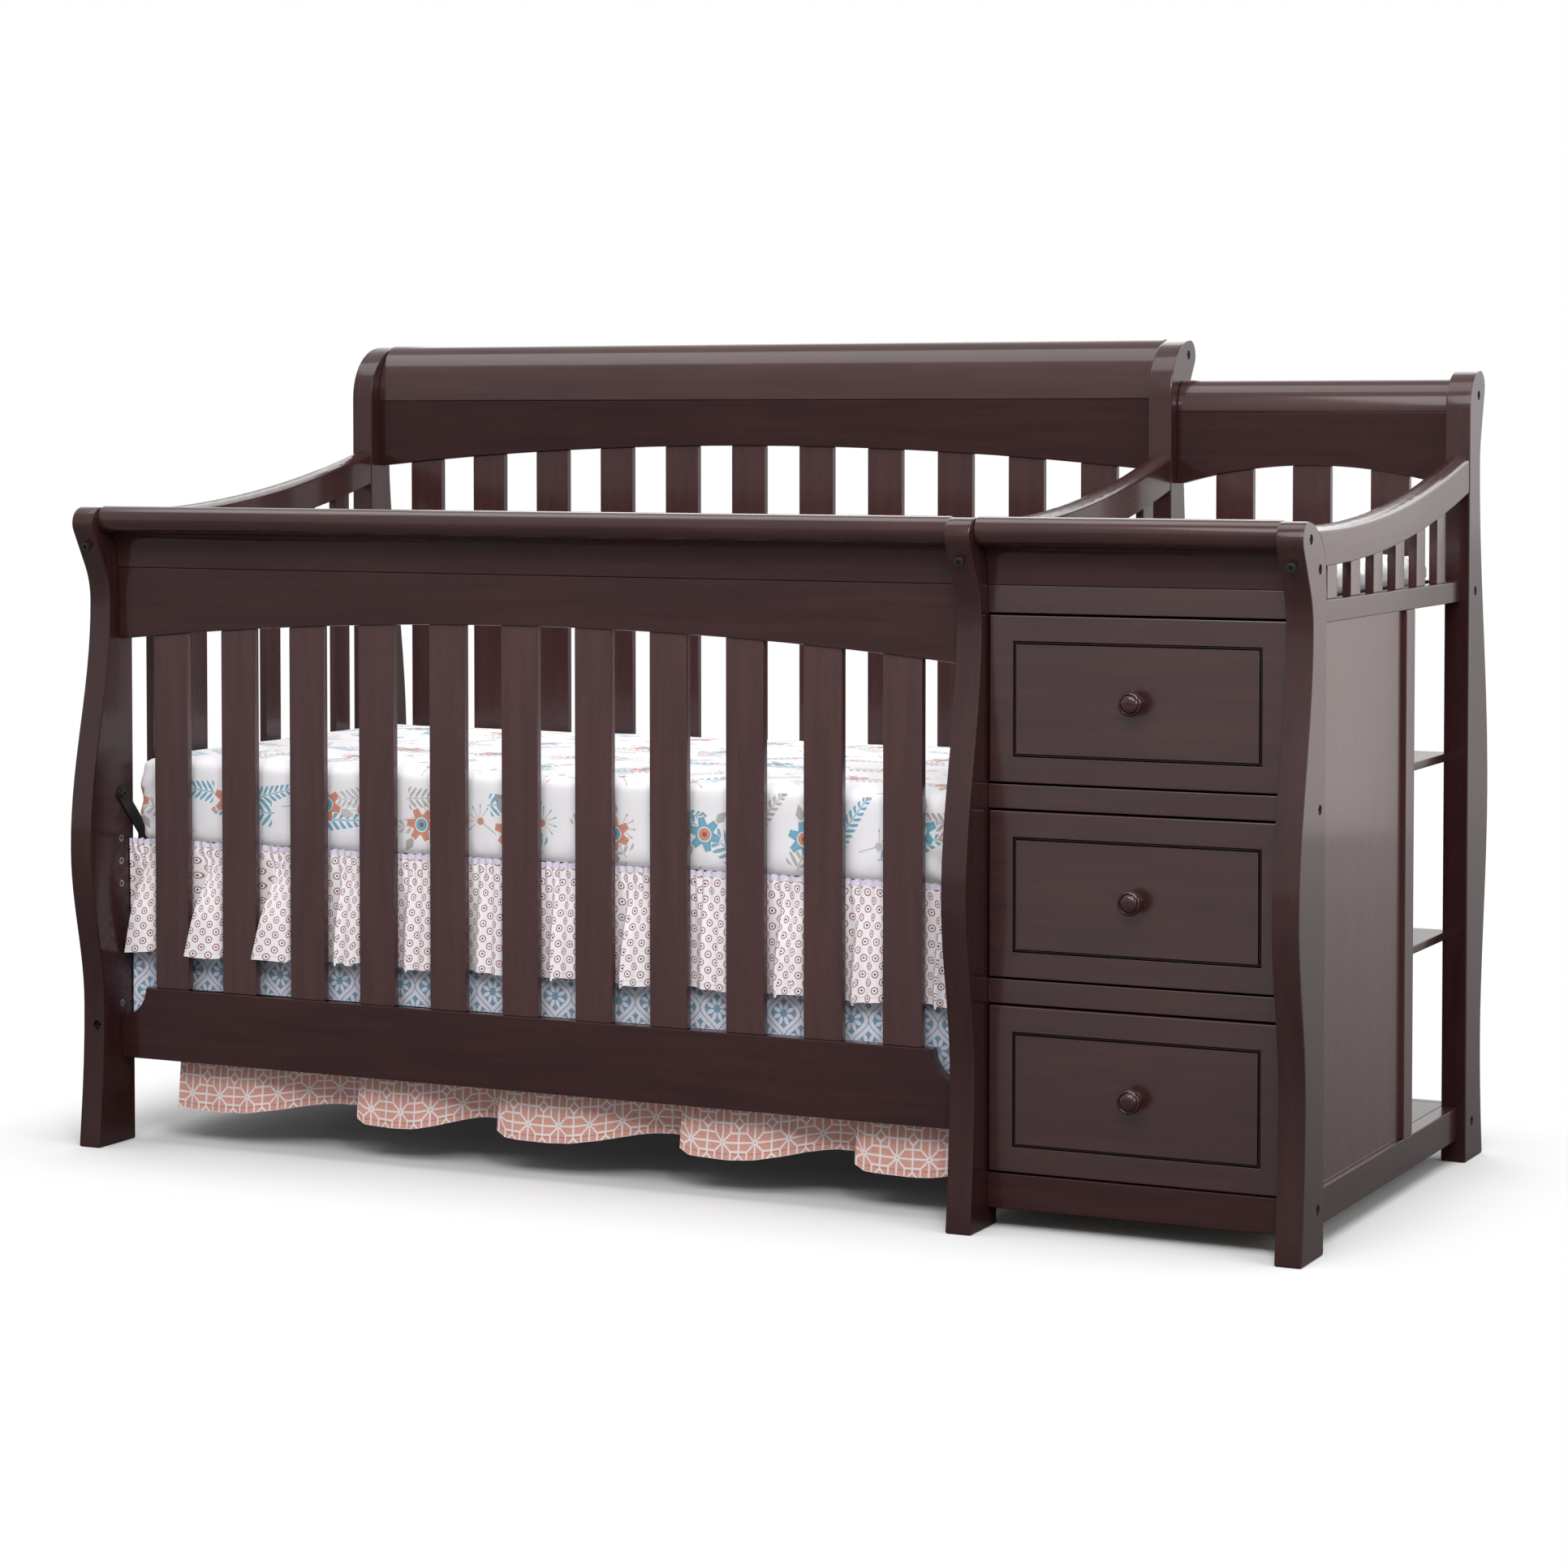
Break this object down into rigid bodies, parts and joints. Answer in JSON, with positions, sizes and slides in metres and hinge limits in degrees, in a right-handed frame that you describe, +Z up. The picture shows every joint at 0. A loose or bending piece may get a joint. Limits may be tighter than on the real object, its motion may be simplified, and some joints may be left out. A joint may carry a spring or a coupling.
{
  "type": "crib with attached changer",
  "caption": "Sleigh-post crib with slatted sides, crowned front and back panels, mattress and tiered skirt, joined to a changer cabinet with drawers, open shelves and a changing pad.",
  "frame": {"origin": "on the floor under the centre of the whole box of crib and changer", "axes": "+X along the length from the crib to the changer, +Y from the drawer side to the tall back panel, +Z up"},
  "size_m": [1.847, 0.873, 1.1735],
  "materials": {
    "stained_wood": "dark espresso stain under satin-gloss lacquer",
    "drawer_board": "clear lacquer, satin",
    "knob_wood": "dark espresso stain, gloss",
    "zinc_steel": "zinc plated, satin",
    "black_steel": "black powder coat, satin",
    "crib_sheet": "printed cotton, matte",
    "skirt_cloth": "printed cotton, matte",
    "pad_cloth": "quilted vinyl-backed cloth, matte"
  },
  "bodies": {
    "crib_frame": {"front_left_post": "stained_wood", "front_middle_post": "stained_wood", "front_right_post": "stained_wood", "back_left_post": "stained_wood", "back_middle_post": "stained_wood", "back_right_post": "stained_wood", "front_crown_rail": "stained_wood", "front_arched_rail": "stained_wood", "front_slats": "stained_wood", "front_bottom_rail": "stained_wood", "back_crown_rail": "stained_wood", "back_arched_rail": "stained_wood", "back_slats": "stained_wood", "back_bottom_rail": "stained_wood", "left_curved_rail": "stained_wood", "left_slats": "stained_wood", "left_bottom_rail": "stained_wood", "middle_curved_rail": "stained_wood", "middle_slats": "stained_wood", "middle_upper_rail": "stained_wood", "middle_panel": "stained_wood", "middle_bottom_rail": "stained_wood", "right_curved_rail": "stained_wood", "right_slats": "stained_wood", "right_upper_rail": "stained_wood", "right_panel": "stained_wood", "right_stile": "stained_wood", "right_bottom_rail": "stained_wood", "changer_crown_rail": "stained_wood", "changer_back_crown": "stained_wood", "changer_back_arched_rail": "stained_wood", "changer_back_slats": "stained_wood", "changer_back_rails": "stained_wood", "cabinet_top_rail": "stained_wood", "drawer_dividers": "stained_wood", "cabinet_bottom_rail": "stained_wood", "changer_top": "stained_wood", "cabinet_back_panel": "stained_wood", "rear_shelves": "stained_wood", "cabinet_runners": "zinc_steel", "spring_frame": "black_steel", "frame_hangers": "black_steel", "mattress": "crib_sheet", "bed_skirt": "skirt_cloth", "changing_pad": "pad_cloth", "rail_bolts": "zinc_steel", "barrel_nuts": "zinc_steel", "threaded_inserts": "zinc_steel"},
    "drawer_1": {"drawer_1_front": "stained_wood", "drawer_1_box": "drawer_board", "drawer_1_knob": "knob_wood", "drawer_1_runners": "zinc_steel"},
    "drawer_2": {"drawer_2_front": "stained_wood", "drawer_2_box": "drawer_board", "drawer_2_knob": "knob_wood", "drawer_2_runners": "zinc_steel"},
    "drawer_3": {"drawer_3_front": "stained_wood", "drawer_3_box": "drawer_board", "drawer_3_knob": "knob_wood", "drawer_3_runners": "zinc_steel"}
  },
  "joints": [
    {"name": "drawer_1_slide", "type": "slide", "parent": "crib_frame", "child": "drawer_1", "axis": [0, -1, 0], "range_m": [0, 0.28]},
    {"name": "drawer_2_slide", "type": "slide", "parent": "crib_frame", "child": "drawer_2", "axis": [0, -1, 0], "range_m": [0, 0.28]},
    {"name": "drawer_3_slide", "type": "slide", "parent": "crib_frame", "child": "drawer_3", "axis": [0, -1, 0], "range_m": [0, 0.28]}
  ]
}
